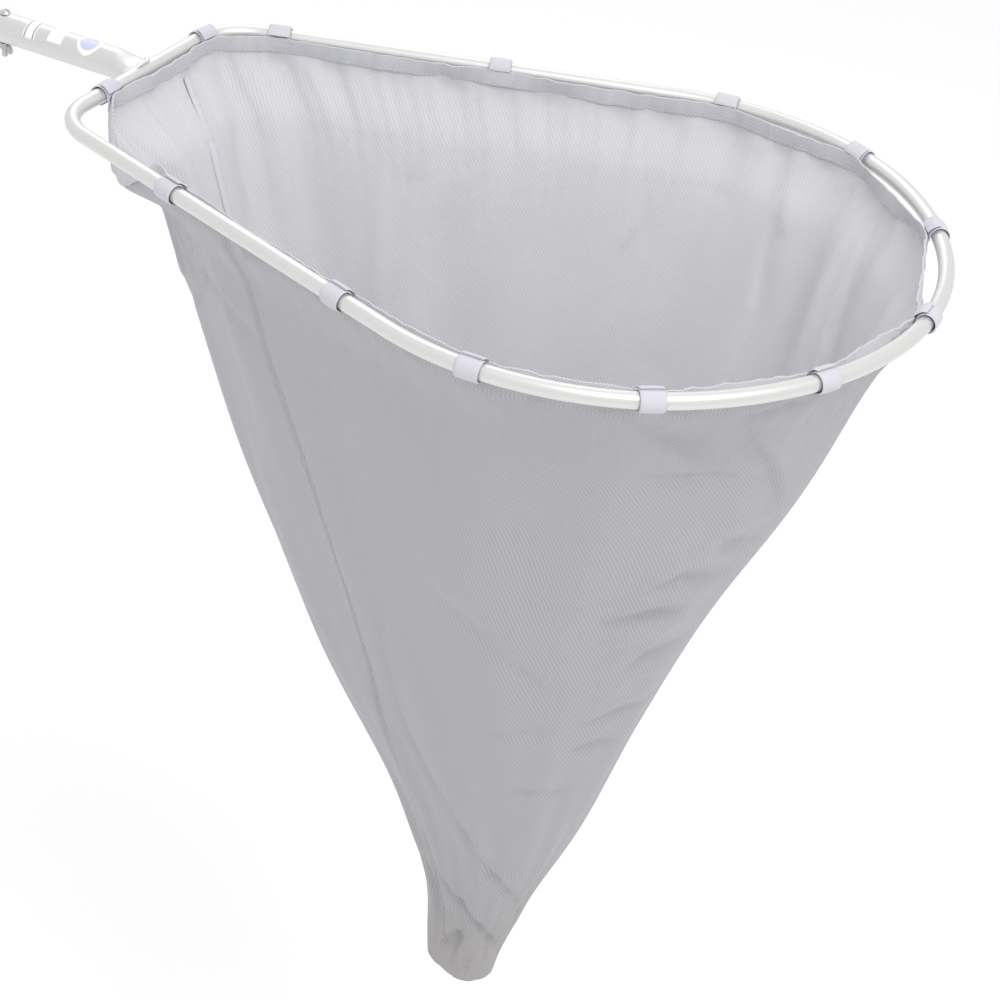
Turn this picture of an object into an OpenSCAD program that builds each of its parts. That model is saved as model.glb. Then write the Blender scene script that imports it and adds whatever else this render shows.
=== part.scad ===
// Hand-held leaf skimmer net: a welded aluminium hoop and handle, a deep mesh bag
// hung inside the hoop from hook-and-loop tabs, and a cross bolt with a wing nut.
//
// Millimetres. +Z is up, the hoop lies level in the XY plane, the handle runs along +X.
// The origin is on the handle's axis at its open end, where the pole is joined.

/* [Hoop] */
// outside diameter of the bent hoop tube
tube_d = 12.7; // [11:0.1:14]
// wall of the hoop tube
tube_wall = 1.3; // [0.9:0.1:2]
// half length of the straight base bar
base_half = 83; // [76:1:90]
// bend radius of the two base corners, to the tube's centreline
corner_r = 52; // [44:1:58]
// angle that each side opens away from the handle's line
side_angle = 20; // [16:0.5:23]
// straight length of each side
side_len = 356; // [320:1:380]
// bend radius of the two shoulders
shoulder_r = 216; // [200:1:230]
// angle that each shoulder turns through
shoulder_turn = 62; // [56:1:66]

/* [Handle] */
// outside diameter of the handle tube
handle_d = 25.4; // [22:0.1:30]
// wall of the handle tube
handle_wall = 1.6; // [1.2:0.1:2.5]
// open end of the handle to the base bar's centreline
base_x = 173; // [150:1:260]
// length of the end squeezed down to the base bar
neck_len = 24; // [16:1:30]
// size of the weld beads
bead_d = 4; // [3:0.1:5]

/* [Bolt and wing nut] */
// open end of the handle to the bolt
bolt_x = 38; // [25:1:45]
// bolt diameter
bolt_d = 4.8; // [4:0.1:6]
// length of the bolt under its head
bolt_len = 38.1; // [36:0.1:44]
// bolt head diameter
head_d = 9.5; // [8.5:0.1:11]
// bolt head height
head_h = 3.4; // [2.8:0.1:4]
// gap between the bolt and each hole it passes through
bolt_gap = 0.08; // [0.05:0.01:0.2]
// wing nut body diameter
nut_d = 8.6; // [8:0.1:10]
// wing nut body height
nut_h = 6; // [5:0.1:7]
// direction in which the wings point, seen from above
wing_angle = -26; // [-90:1:90]

/* [Tabs] */
// width of the hook-and-loop webbing
tab_w = 19; // [16:0.5:22]
// thickness of the wrapped webbing
tab_t = 1.7; // [1.2:0.1:2]
// slack between the webbing and the tube
tab_slack = 0.75; // [0.4:0.05:1]
// thickness of each tab's free end
flap_t = 1.1; // [0.8:0.1:1.4]
// distance of each tab from the middle of the base bar, along the far half of the hoop
far_tabs = [91, 162, 351, 545, 676, 814, 966];
// the same along the near half
near_tabs = [53, 254, 449, 578, 706, 843];

/* [Bag] */
// gap between the hoop tube and the hem at each tab
hem_gap = 2.75; // [2.6:0.05:3.5]
// thickness of the doubled hem
hem_t = 1.6; // [1.2:0.1:2]
// height of the hem
hem_h = 13; // [11:0.5:15]
// top of the hem above the hoop's centreline
hem_top = 2; // [0:0.5:2.2]
// thickness of the mesh wall, with its folds
mesh_t = 1.6; // [1.2:0.1:2.5]
// depth of the bag below the hoop's centreline
bag_depth = 795; // [760:1:840]
// width of the seam tapes
seam_w = 9; // [6:0.5:12]
// thickness of the seam tapes
seam_t = 0.6; // [0.4:0.1:1]
// distance of the far seam from the middle of the base bar, along the hoop
far_seam = 55; // [40:1:80]
// the same for the near seam
near_seam = 312; // [280:1:340]

/* [Hidden] */
$fn = 72;
eps = 0.01;
tube_r = tube_d / 2;
handle_r = handle_d / 2;
bolt_r = bolt_d / 2;
hole_r = bolt_r + bolt_gap;

// plan of the hoop's centreline: bar, corner, side, shoulder, nose
corner_c = [base_x + corner_r, base_half];
side_start = corner_c + corner_r * [-sin(side_angle), cos(side_angle)];
side_end = side_start + side_len * [cos(side_angle), sin(side_angle)];
shoulder_c = side_end + shoulder_r * [sin(side_angle), -cos(side_angle)];
nose_half = 90 + side_angle - shoulder_turn;
nose_start = shoulder_c + shoulder_r * [cos(nose_half), sin(nose_half)];
nose_r = nose_start.y / sin(nose_half);
nose_c = [nose_start.x - nose_r * cos(nose_half), 0];

// distances along the centreline at which each stretch ends
corner_end_s = base_half + corner_r * (90 - side_angle) * PI / 180;
side_end_s = corner_end_s + side_len;
shoulder_end_s = side_end_s + shoulder_r * shoulder_turn * PI / 180;

// tabs
strap_in = tube_r + tab_slack;
strap_out = strap_in + tab_t;
flap_in = strap_out + 0.3;
flap_out = flap_in + flap_t;
flap_low = 20;
flap_high = 88;
tongue_drop = 9;
tab_s = concat(far_tabs, [for (s = near_tabs) -s]);

// hem and bag
hem_out = tube_r + hem_gap;
hem_low = hem_top - hem_h;
corner_out = 0.9;
panel_gap = 0.15;
mouth_x = base_x + 372;
nut_top = -handle_r - 0.1;
label_t = 0.15;

metal = [0.80, 0.81, 0.80];
webbing = [0.80, 0.79, 0.85];
mesh_grey = [0.66, 0.66, 0.69];
hem_grey = [0.74, 0.74, 0.77];
sticker_white = [0.93, 0.93, 0.94];

// ---------------------------------------------------------------- hoop plan

// direction of travel along the far half, at distance s from the middle of the bar
function heading(s) =
    s < base_half ? 90 :
    s < corner_end_s ? 90 - (s - base_half) / corner_r * 180 / PI :
    s < side_end_s ? side_angle :
    s < shoulder_end_s ? side_angle - (s - side_end_s) / shoulder_r * 180 / PI :
    side_angle - shoulder_turn - (s - shoulder_end_s) / nose_r * 180 / PI;

function left_of(angle) = [-sin(angle), cos(angle)];

// place on the far half of the centreline
function place(s) =
    s < base_half ? [base_x, s] :
    s < corner_end_s ? corner_c + corner_r * left_of(heading(s)) :
    s < side_end_s ? side_start + (s - corner_end_s) * [cos(side_angle), sin(side_angle)] :
    s < shoulder_end_s ? shoulder_c + shoulder_r * left_of(heading(s)) :
    nose_c + nose_r * left_of(heading(s));

// a point beside the centreline: along the tube from s, and in towards the middle
function beside(s, along, in) =
    let (h = heading(abs(s)))
    let (p = place(abs(s)) + along * [cos(h), sin(h)] - in * left_of(h))
    s < 0 ? [p.x, -p.y] : p;

// the hem is held at each tab and runs straight from one to the next
function hem_line(in) = concat(
    [for (s = far_tabs) for (end = [-1, 1]) beside(s, end * tab_w / 2, hem_out + in)],
    [for (k = [len(near_tabs) - 1 : -1 : 0]) for (end = [1, -1])
        beside(-near_tabs[k], end * tab_w / 2, hem_out + in)]
);

// stand at a tab: local X along the tube, local +Y towards the middle of the hoop
module at_station(s) {
    p = place(abs(s));
    turn = s >= 0 ? heading(s) - 180 : -heading(-s);
    translate([p.x, sign(s) * p.y, 0])
        rotate([0, 0, turn])
            children();
}

// ---------------------------------------------------------------- tube pieces

module bent_tube(centre, bend_r, from, to, r) {
    translate([centre.x, centre.y, 0])
        rotate([0, 0, from])
            rotate_extrude(angle = to - from, $fn = 180)
                translate([bend_r, 0])
                    difference() {
                        circle(r = r);
                        circle(r = r - tube_wall);
                    }
}

module straight_tube(len, r, wall) {
    difference() {
        cylinder(r = r, h = len);
        translate([0, 0, -eps])
            cylinder(r = r - wall, h = len + 2 * eps);
    }
}

module both_sides() {
    children();
    mirror([0, 1, 0])
        children();
}

module hoop_base() {
    color(metal) {
        translate([base_x, -base_half, 0])
            rotate([-90, 0, 0])
                straight_tube(2 * base_half, tube_r, tube_wall);
        both_sides()
            bent_tube(corner_c, corner_r, 90 + side_angle, 180, tube_r);
    }
}

module hoop_sides() {
    color(metal)
        both_sides()
            translate([side_start.x, side_start.y, 0])
                rotate([0, 90, side_angle])
                    straight_tube(side_len, tube_r, tube_wall);
}

module hoop_shoulders() {
    color(metal)
        both_sides()
            bent_tube(shoulder_c, shoulder_r, nose_half, 90 + side_angle, tube_r);
}

module hoop_nose() {
    color(metal)
        bent_tube(nose_c, nose_r, -nose_half, nose_half, tube_r);
}

// ---------------------------------------------------------------- handle

// the space between two planes that close in from the tube's full height to the bar's
module squeeze(full, closed, past) {
    rotate([90, 0, 0])
        linear_extrude(4 * handle_d, center = true)
            polygon([
                [-past, -full], [base_x - neck_len, -full], [base_x, -closed],
                [base_x, closed], [base_x - neck_len, full], [-past, full]
            ]);
}

module handle_tube() {
    bore_r = handle_r - handle_wall;
    color(metal)
        difference() {
            intersection() {
                rotate([0, 90, 0])
                    cylinder(r = handle_r, h = base_x);
                squeeze(handle_r + 1, tube_r, 1);
            }
            intersection() {
                translate([-1, 0, 0])
                    rotate([0, 90, 0])
                        cylinder(r = bore_r, h = base_x);
                squeeze(bore_r + 1, tube_r - handle_wall, 2);
            }
            translate([base_x, 0, 0])
                rotate([90, 0, 0])
                    cylinder(r = tube_r, h = 2 * handle_d, center = true);
            translate([bolt_x, 0, 0])
                cylinder(r = hole_r, h = 2 * handle_d, center = true);
        }
}

// beads across the top and bottom of the joint, and a fillet in each corner beside it
module welds() {
    bead_x = base_x - tube_r * 0.72;
    bead_z = tube_r * 0.92;
    fillet = 7;
    color(metal)
        difference() {
            union() {
                for (side = [-1, 1])
                    translate([bead_x, 0, side * bead_z])
                        rotate([90, 0, 0])
                            cylinder(d = bead_d, h = handle_d - 2, center = true);
                both_sides()
                    difference() {
                        translate([base_x - tube_r - fillet, handle_r - 1.5, -tube_r * 0.7])
                            cube([fillet + tube_r * 0.8, fillet + 1.5, tube_r * 1.4]);
                        translate([base_x - tube_r - fillet, handle_r + fillet, 0])
                            cylinder(r = fillet, h = tube_d, center = true);
                    }
            }
            translate([base_x, 0, 0])
                rotate([90, 0, 0])
                    cylinder(r = tube_r, h = 4 * handle_d, center = true);
            intersection() {
                rotate([0, 90, 0])
                    cylinder(r = handle_r, h = base_x);
                squeeze(handle_r + 1, tube_r, 1);
            }
        }
}

// a thin label wrapped round the handle between two angles: 0 is straight down, 90 is
// the far side, 180 is straight up and 270 is the near side
module wrapped_label(x, len, from, to) {
    translate([x, 0, 0])
        rotate([0, 90, 0])
            rotate([0, 0, from])
                rotate_extrude(angle = to - from)
                    translate([handle_r, 0])
                        square([label_t, len]);
}

module box_label() {
    color(sticker_white)
        wrapped_label(base_x - 109.5, 11.5, 135, 255);
}

module plain_label() {
    color(sticker_white)
        wrapped_label(base_x - 86, 13.5, 140, 242);
}

// a disc laid over the top of the handle, leaning a little to the near side
module round_label() {
    disc_r = 10.8;
    color(sticker_white)
        translate([base_x - 49, 0, 0])
            rotate([15, 0, 0])
                intersection() {
                    rotate([0, 90, 0])
                        difference() {
                            cylinder(r = handle_r + label_t, h = 3 * disc_r, center = true);
                            cylinder(r = handle_r, h = 4 * disc_r, center = true);
                        }
                    cylinder(r = disc_r, h = handle_d);
                }
}

// ---------------------------------------------------------------- bolt and nut

module bolt() {
    dome_r = (pow(head_d / 2, 2) + pow(head_h, 2)) / (2 * head_h);
    slot_w = 1.2;
    slot_depth = 1.3;
    color(metal)
        translate([bolt_x, 0, handle_r]) {
            difference() {
                intersection() {
                    translate([0, 0, head_h - dome_r])
                        sphere(r = dome_r);
                    cylinder(d = head_d, h = head_h);
                }
                translate([-head_d, -slot_w / 2, head_h - slot_depth])
                    cube([2 * head_d, slot_w, slot_depth + 1]);
            }
            translate([0, 0, -bolt_len])
                cylinder(r = bolt_r, h = bolt_len);
        }
}

module wing_nut() {
    wing_reach = 8.6;
    wing_r = 3.3;
    wing_t = 1.9;
    wing_drop = 4;
    color(metal)
        translate([bolt_x, 0, nut_top])
            rotate([180, 0, wing_angle])
                difference() {
                    union() {
                        cylinder(d1 = nut_d + 1.2, d2 = nut_d - 1, h = nut_h);
                        rotate([90, 0, 0])
                            linear_extrude(wing_t, center = true)
                                for (side = [-1, 1]) {
                                    translate([side * wing_reach, wing_drop])
                                        circle(r = wing_r);
                                    polygon([
                                        [0, 0.6], [side * wing_reach, wing_drop - wing_r],
                                        [side * wing_reach, wing_drop + wing_r],
                                        [0, nut_h - 0.4]
                                    ]);
                                }
                    }
                    translate([0, 0, -1])
                        cylinder(r = hole_r, h = nut_h + 4);
                }
}

// ---------------------------------------------------------------- tabs

module strap() {
    rotate([0, 90, 0])
        difference() {
            cylinder(r = strap_out, h = tab_w, center = true);
            cylinder(r = strap_in, h = tab_w + 2, center = true);
        }
    // the tongue that is sewn down the outer face of the hem
    translate([-tab_w / 2, strap_out - 0.9, -tongue_drop])
        cube([tab_w, 0.8, tongue_drop]);
}

module tab_straps() {
    color(webbing)
        for (s = tab_s)
            at_station(s)
                strap();
}

// the free end that lies over the strap on the inside of the tube
module tab_end(number) {
    color(webbing)
        at_station(tab_s[number - 1])
            rotate([90, 0, 90])
                rotate([0, 0, flap_low])
                    translate([0, 0, -tab_w / 2])
                        rotate_extrude(angle = flap_high - flap_low)
                            translate([flap_in, 0])
                                square([flap_t, tab_w]);
}

// ---------------------------------------------------------------- bag

module hem() {
    color(hem_grey)
        translate([0, 0, hem_low])
            linear_extrude(hem_h)
                difference() {
                    polygon(hem_line(0));
                    polygon(hem_line(hem_t));
                }
}

// at each level: depth as a share of the whole, size beside the mouth, and how far
// the middle has moved towards the front
levels = [
    [0, 1, 0], [0.063, 0.91, 5], [0.369, 0.64, -1], [0.56, 0.45, 5],
    [0.751, 0.24, 20], [0.866, 0.14, 19], [0.955, 0.1, 12], [1, 0.04, 9]
];
toe_level = 5;
last_level = len(levels) - 1;

// the bag's corners, counted round from the far seam: one at each tab and at each seam
corners = concat(
    [far_seam], far_tabs,
    [for (k = [len(near_tabs) - 1 : -1 : 2]) -near_tabs[k]],
    [-near_seam, -near_tabs[1], -near_tabs[0]]
);
near_corner = search(-near_seam, corners)[0];

function level_z(k) = hem_low - levels[k][0] * (bag_depth + hem_low);

// a corner at a level, and a distance in from the outer face
function corner(n, k, in) =
    let (size = levels[k][1])
    let (p = beside(corners[n % len(corners)], 0, hem_out - corner_out + in / size))
    [mouth_x + levels[k][2] + size * (p.x - mouth_x), size * p.y];

// a point on the edge between two corners: so far from the first, or back from the second
function edge_point(n, k, in, d) =
    let (a = corner(n, k, in))
    let (b = corner(n + 1, k, in))
    (d < 0 ? b : a) + d * (b - a) / norm(b - a);

module wall_slice(n, k, z, outer, inner, from, to) {
    translate([0, 0, z])
        linear_extrude(eps)
            polygon([
                edge_point(n, k, outer, from), edge_point(n, k, outer, to),
                edge_point(n, k, inner, to), edge_point(n, k, inner, from)
            ]);
}

// flat pieces of wall on one edge, each from one level to the next
module wall_strip(n, outer, inner, from, to) {
    for (k = [0 : toe_level - 1])
        hull() {
            wall_slice(n, k, level_z(k) - panel_gap, outer, inner, from, to);
            wall_slice(n, k + 1, level_z(k + 1) + panel_gap, outer, inner, from, to);
        }
}

module bag_body() {
    color(mesh_grey)
        for (n = [0 : near_corner - 1])
            wall_strip(n, 0, mesh_t, panel_gap, -panel_gap);
}

module bag_base_panel() {
    color(mesh_grey)
        for (n = [near_corner : len(corners) - 1])
            wall_strip(n, 0, mesh_t, panel_gap, -panel_gap);
}

// each tape lies inside the base panel's edge, along its seam, a hair clear of the panel
module seam_tapes() {
    color(hem_grey) {
        wall_strip(near_corner, mesh_t + panel_gap, mesh_t + seam_t, panel_gap, seam_w);
        wall_strip(len(corners) - 1, mesh_t + panel_gap, mesh_t + seam_t, -seam_w, -panel_gap);
    }
}

module bag_solid(in, from, to) {
    for (k = [from : to - 1])
        hull()
            for (level = [k, k + 1])
                translate([0, 0, level_z(level) - eps])
                    linear_extrude(eps)
                        polygon([for (n = [0 : len(corners) - 1]) corner(n, level, in)]);
}

// the closed pocket at the bottom
module bag_toe() {
    floor_t = 3;
    color(mesh_grey)
        difference() {
            bag_solid(0, toe_level, last_level);
            translate([0, 0, floor_t])
                bag_solid(mesh_t, toe_level, last_level);
        }
}

// ---------------------------------------------------------------- nodes

handle_tube();
welds();
hoop_base();
hoop_sides();
hoop_shoulders();
hoop_nose();
bolt();
wing_nut();
tab_straps();
tab_end(1);  // tab_end_01
tab_end(2);  // tab_end_02
tab_end(3);  // tab_end_03
tab_end(4);  // tab_end_04
tab_end(5);  // tab_end_05
tab_end(6);  // tab_end_06
tab_end(7);  // tab_end_07
tab_end(8);  // tab_end_08
tab_end(9);  // tab_end_09
tab_end(10);  // tab_end_10
tab_end(11);  // tab_end_11
tab_end(12);  // tab_end_12
tab_end(13);  // tab_end_13
hem();
bag_body();
bag_base_panel();
bag_toe();
seam_tapes();
box_label();
plain_label();
round_label();
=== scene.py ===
import math

import bmesh
import bpy
import numpy as np
from mathutils import Matrix, Vector


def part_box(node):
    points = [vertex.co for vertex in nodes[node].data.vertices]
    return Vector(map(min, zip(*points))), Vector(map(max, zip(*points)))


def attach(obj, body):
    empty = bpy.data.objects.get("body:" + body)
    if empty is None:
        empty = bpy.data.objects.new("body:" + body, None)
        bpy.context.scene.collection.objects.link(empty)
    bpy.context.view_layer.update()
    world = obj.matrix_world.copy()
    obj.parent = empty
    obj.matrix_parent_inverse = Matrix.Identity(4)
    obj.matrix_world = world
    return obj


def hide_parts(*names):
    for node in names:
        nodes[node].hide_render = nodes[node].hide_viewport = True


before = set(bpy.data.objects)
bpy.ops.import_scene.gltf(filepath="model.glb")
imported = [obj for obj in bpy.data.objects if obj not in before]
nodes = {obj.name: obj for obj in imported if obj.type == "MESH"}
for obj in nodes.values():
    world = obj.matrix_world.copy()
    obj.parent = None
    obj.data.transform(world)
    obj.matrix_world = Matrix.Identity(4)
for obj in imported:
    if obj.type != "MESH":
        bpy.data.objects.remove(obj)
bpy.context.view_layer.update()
MM = 0.001


# ------------------------------------------------------------------ plan of the hoop

TUBE_R = 6.35 * MM
BASE_HALF = 83 * MM
CORNER_R = 52 * MM
SIDE_ANGLE = math.radians(20)
SIDE_LEN = 356 * MM
SHOULDER_R = 216 * MM
SHOULDER_TURN = math.radians(62)
BASE_X = 173 * MM
HANDLE_R = 12.7 * MM
HANDLE_WALL = 1.6 * MM
NECK = 24 * MM
BOLT_X = 38 * MM
BOLT_HOLE_R = 2.9 * MM
THREAD_PITCH = 1.058 * MM
TAB_W = 19 * MM
BAG_IN = 9.6 * MM  # from the tube's centreline in to the mesh
HEM_IN = 10 * MM
FAR_TABS = [0.091, 0.162, 0.351, 0.545, 0.676, 0.814, 0.966]
NEAR_TABS = [0.053, 0.254, 0.449, 0.578, 0.706, 0.843]
TAB_S = FAR_TABS + [-s for s in NEAR_TABS]


def left_of(a):
    return np.array([-math.sin(a), math.cos(a)])


def along(a):
    return np.array([math.cos(a), math.sin(a)])


corner_c = np.array([BASE_X + CORNER_R, BASE_HALF])
side_start = corner_c + CORNER_R * left_of(SIDE_ANGLE)
side_end = side_start + SIDE_LEN * along(SIDE_ANGLE)
shoulder_c = side_end - SHOULDER_R * left_of(SIDE_ANGLE)
nose_half = math.pi / 2 + SIDE_ANGLE - SHOULDER_TURN
nose_start = shoulder_c + SHOULDER_R * along(nose_half)
nose_r = nose_start[1] / math.sin(nose_half)
nose_c = np.array([nose_start[0] - nose_r * math.cos(nose_half), 0.0])
S1 = BASE_HALF + CORNER_R * (math.pi / 2 - SIDE_ANGLE)
S2 = S1 + SIDE_LEN
S3 = S2 + SHOULDER_R * SHOULDER_TURN
HALF = S3 + nose_r * nose_half


def far_heading(s):
    if s < BASE_HALF:
        return math.pi / 2
    if s < S1:
        return math.pi / 2 - (s - BASE_HALF) / CORNER_R
    if s < S2:
        return SIDE_ANGLE
    if s < S3:
        return SIDE_ANGLE - (s - S2) / SHOULDER_R
    return SIDE_ANGLE - SHOULDER_TURN - (s - S3) / nose_r


def far_place(s):
    h = far_heading(s)
    if s < BASE_HALF:
        return np.array([BASE_X, s])
    if s < S1:
        return corner_c + CORNER_R * left_of(h)
    if s < S2:
        return side_start + (s - S1) * along(SIDE_ANGLE)
    if s < S3:
        return shoulder_c + SHOULDER_R * left_of(h)
    return nose_c + nose_r * left_of(h)


def station(s):
    """Place on the hoop's centreline, direction along the tube, and direction in towards
    the middle, at the signed distance s from the middle of the base bar (far side +)."""
    s = (s + HALF) % (2 * HALF) - HALF
    p, h = far_place(abs(s)), far_heading(abs(s))
    t, n = along(h), -left_of(h)
    if s < 0:
        p, t, n = p * [1, -1], -t * [1, -1], n * [1, -1]
    return p, t, n


# ------------------------------------------------------------------ mesh helpers

def make_mesh(name, verts, faces, material, body="frame", uv=None):
    me = bpy.data.meshes.new(name)
    me.from_pydata([tuple(map(float, v)) for v in verts], [], [tuple(map(int, f)) for f in faces])
    me.validate()
    if uv is not None:
        layer = me.uv_layers.new(name="cloth")
        loops = np.empty(len(me.loops), dtype=np.int32)
        me.loops.foreach_get("vertex_index", loops)
        layer.data.foreach_set("uv", np.asarray(uv, dtype=np.float32)[loops].ravel())
    me.shade_smooth()
    o = bpy.data.objects.new(name, me)
    bpy.context.scene.collection.objects.link(o)
    o.data.materials.append(material)
    if body:
        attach(o, body)
    return o


def grid_faces(rows, cols, close_cols=False, close_rows=False, flip=False, start=0):
    faces = []
    for i in range(rows if close_rows else rows - 1):
        for j in range(cols if close_cols else cols - 1):
            i2, j2 = (i + 1) % rows, (j + 1) % cols
            f = [start + i * cols + j, start + i * cols + j2, start + i2 * cols + j2, start + i2 * cols + j]
            faces.append(f[::-1] if flip else f)
    return faces


def sweep(path, side, up, profile, close_path=False):
    """A closed profile [(a, b), ...] carried along path, a along side and b along up."""
    path, side, up = (np.asarray(x, float) for x in (path, side, up))
    prof = np.asarray(profile, float)
    if prof.ndim == 2:
        prof = np.repeat(prof[None], len(path), 0)
    v = path[:, None] + prof[..., :1] * side[:, None] + prof[..., 1:] * up[:, None]
    rows, cols = v.shape[:2]
    faces = grid_faces(rows, cols, close_cols=True, close_rows=close_path)
    if not close_path:
        faces += [list(range(cols))[::-1], list(range((rows - 1) * cols, rows * cols))]
    return v.reshape(-1, 3), faces


def solidify(o, thickness, offset=0.0):
    m = o.modifiers.new("thickness", "SOLIDIFY")
    m.thickness, m.offset, m.use_even_offset = thickness, offset, True
    return m


def apply_modifiers(o):
    dg = bpy.context.evaluated_depsgraph_get()
    me = bpy.data.meshes.new_from_object(o.evaluated_get(dg))
    old = o.data
    o.modifiers.clear()
    o.data = me
    bpy.data.meshes.remove(old)


def crease(o, degrees=35):
    """Shade flat across edges that turn by more than this."""
    o.data.set_sharp_from_angle(angle=math.radians(degrees))


def smooth_step(x, lo, hi):
    t = np.clip((np.asarray(x, float) - lo) / (hi - lo), 0, 1)
    return t * t * (3 - 2 * t)


def wrap(ds):
    return (ds + HALF) % (2 * HALF) - HALF


def noise1(x, seed, wave, n=5):
    """Smooth noise of about unit size, made of a few sines."""
    r = np.random.default_rng(seed)
    total = np.zeros_like(np.asarray(x, float))
    for _ in range(n):
        length = wave * r.uniform(0.6, 1.8)
        total += math.sqrt(1 / n) * 1.4 * np.sin(2 * np.pi * x / length + r.uniform(0, 7))
    return total


# ------------------------------------------------------------------ materials

class Nodes:
    """A small wrapper that makes a node tree short to write."""

    def __init__(self, name):
        self.mat = bpy.data.materials.new(name)
        self.mat.use_nodes = True
        self.tree = self.mat.node_tree
        self.tree.nodes.clear()
        self.out = self.tree.nodes.new("ShaderNodeOutputMaterial")
        self.bsdf = self.tree.nodes.new("ShaderNodeBsdfPrincipled")
        self.tree.links.new(self.bsdf.outputs[0], self.out.inputs[0])

    def add(self, kind, props=None, **inputs):
        n = self.tree.nodes.new("ShaderNode" + kind)
        for k, v in (props or {}).items():
            setattr(n, k, v)
        for k, v in inputs.items():
            self.put(n.inputs[int(k[1:]) if k[0] == "i" and k[1:].isdigit() else k.replace("_", " ")], v)
        return n

    def put(self, socket, v):
        if isinstance(v, tuple) and len(v) == 3 and socket.type == "RGBA":
            v = (*v, 1)
        if isinstance(v, bpy.types.NodeSocket):
            self.tree.links.new(v, socket)
        elif hasattr(v, "outputs"):
            self.tree.links.new(v.outputs[0], socket)
        else:
            socket.default_value = v

    def math(self, op, a, b=0.0, clamp=False):
        n = self.add("Math", {"operation": op, "use_clamp": clamp}, i0=a, i1=b)
        return n.outputs[0]

    def coords(self, scale=(1, 1, 1), rot=(0, 0, 0), uv=False):
        tc = self.add("TexCoord")
        src = self.add("UVMap", {"uv_map": "cloth"}).outputs[0] if uv else tc.outputs["Object"]
        return self.add("Mapping", None, Vector=src, Scale=scale, Rotation=rot).outputs[0]

    def noise(self, scale, detail=3.0, rough=0.55, vector=None):
        vec = vector if vector is not None else self.coords()
        return self.add("TexNoise", None, Vector=vec, Scale=scale, Detail=detail, Roughness=rough).outputs[0]

    def ramp(self, value, stops):
        n = self.add("ValToRGB", None, Fac=value)
        cr = n.color_ramp
        while len(cr.elements) < len(stops):
            cr.elements.new(0.5)
        for e, (p, c) in zip(cr.elements, stops):
            e.position = p
            e.color = (*c, 1) if len(c) == 3 else c
        return n.outputs[0]

    def mix(self, fac, a, b, blend="MIX"):
        n = self.add("Mix", {"data_type": "RGBA", "blend_type": blend})
        self.put(n.inputs[0], fac)
        for sock, v in ((n.inputs[6], a), (n.inputs[7], b)):
            self.put(sock, v)
        return n.outputs[2]

    def bump(self, height, strength, distance, under=None):
        n = self.add("Bump", None, Strength=strength, Distance=distance, Height=height)
        if under is not None:
            self.put(n.inputs["Normal"], under)
        return n.outputs[0]

    def set(self, **kw):
        for k, v in kw.items():
            self.put(self.bsdf.inputs[k.replace("_", " ")], v)
        return self.mat


BAND = math.tau / 20  # the Wave texture's scale that gives one band a unit


def metal_material(name, colour, rough, streak_axis, streak=0.05, dirt=0.05):
    """Satin aluminium: fine draw lines along the tube, faint clouding and small scuffs."""
    m = Nodes(name)
    scale = [900, 900, 900]
    scale[streak_axis] = 12
    lines = m.noise(1.0, 4, 0.6, m.coords(tuple(scale)))
    cloud = m.noise(38, 4, 0.6)
    spots = m.noise(420, 2, 0.5)
    c = m.mix(m.math("MULTIPLY", lines, streak * 3), colour, tuple(x * 0.82 for x in colour))
    c = m.mix(m.math("MULTIPLY", cloud, dirt * 3), c, tuple(x * 0.86 for x in colour))
    scuffs = m.ramp(spots, [(0.70, (0, 0, 0)), (0.80, (0.35, 0.35, 0.35))])
    c = m.mix(scuffs, c, tuple(x * 0.75 for x in colour))
    wear = m.math("ADD", m.math("MULTIPLY", lines, 0.6), m.math("MULTIPLY", cloud, 0.4))
    r = m.add("MapRange", None, Value=wear, To_Min=rough - 0.09, To_Max=rough + 0.13).outputs[0]
    n = m.bump(lines, 0.10, 0.0002)
    n = m.bump(cloud, 0.05, 0.0008, n)
    return m.set(Base_Color=c, Metallic=0.72, Roughness=r, Normal=n)


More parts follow.
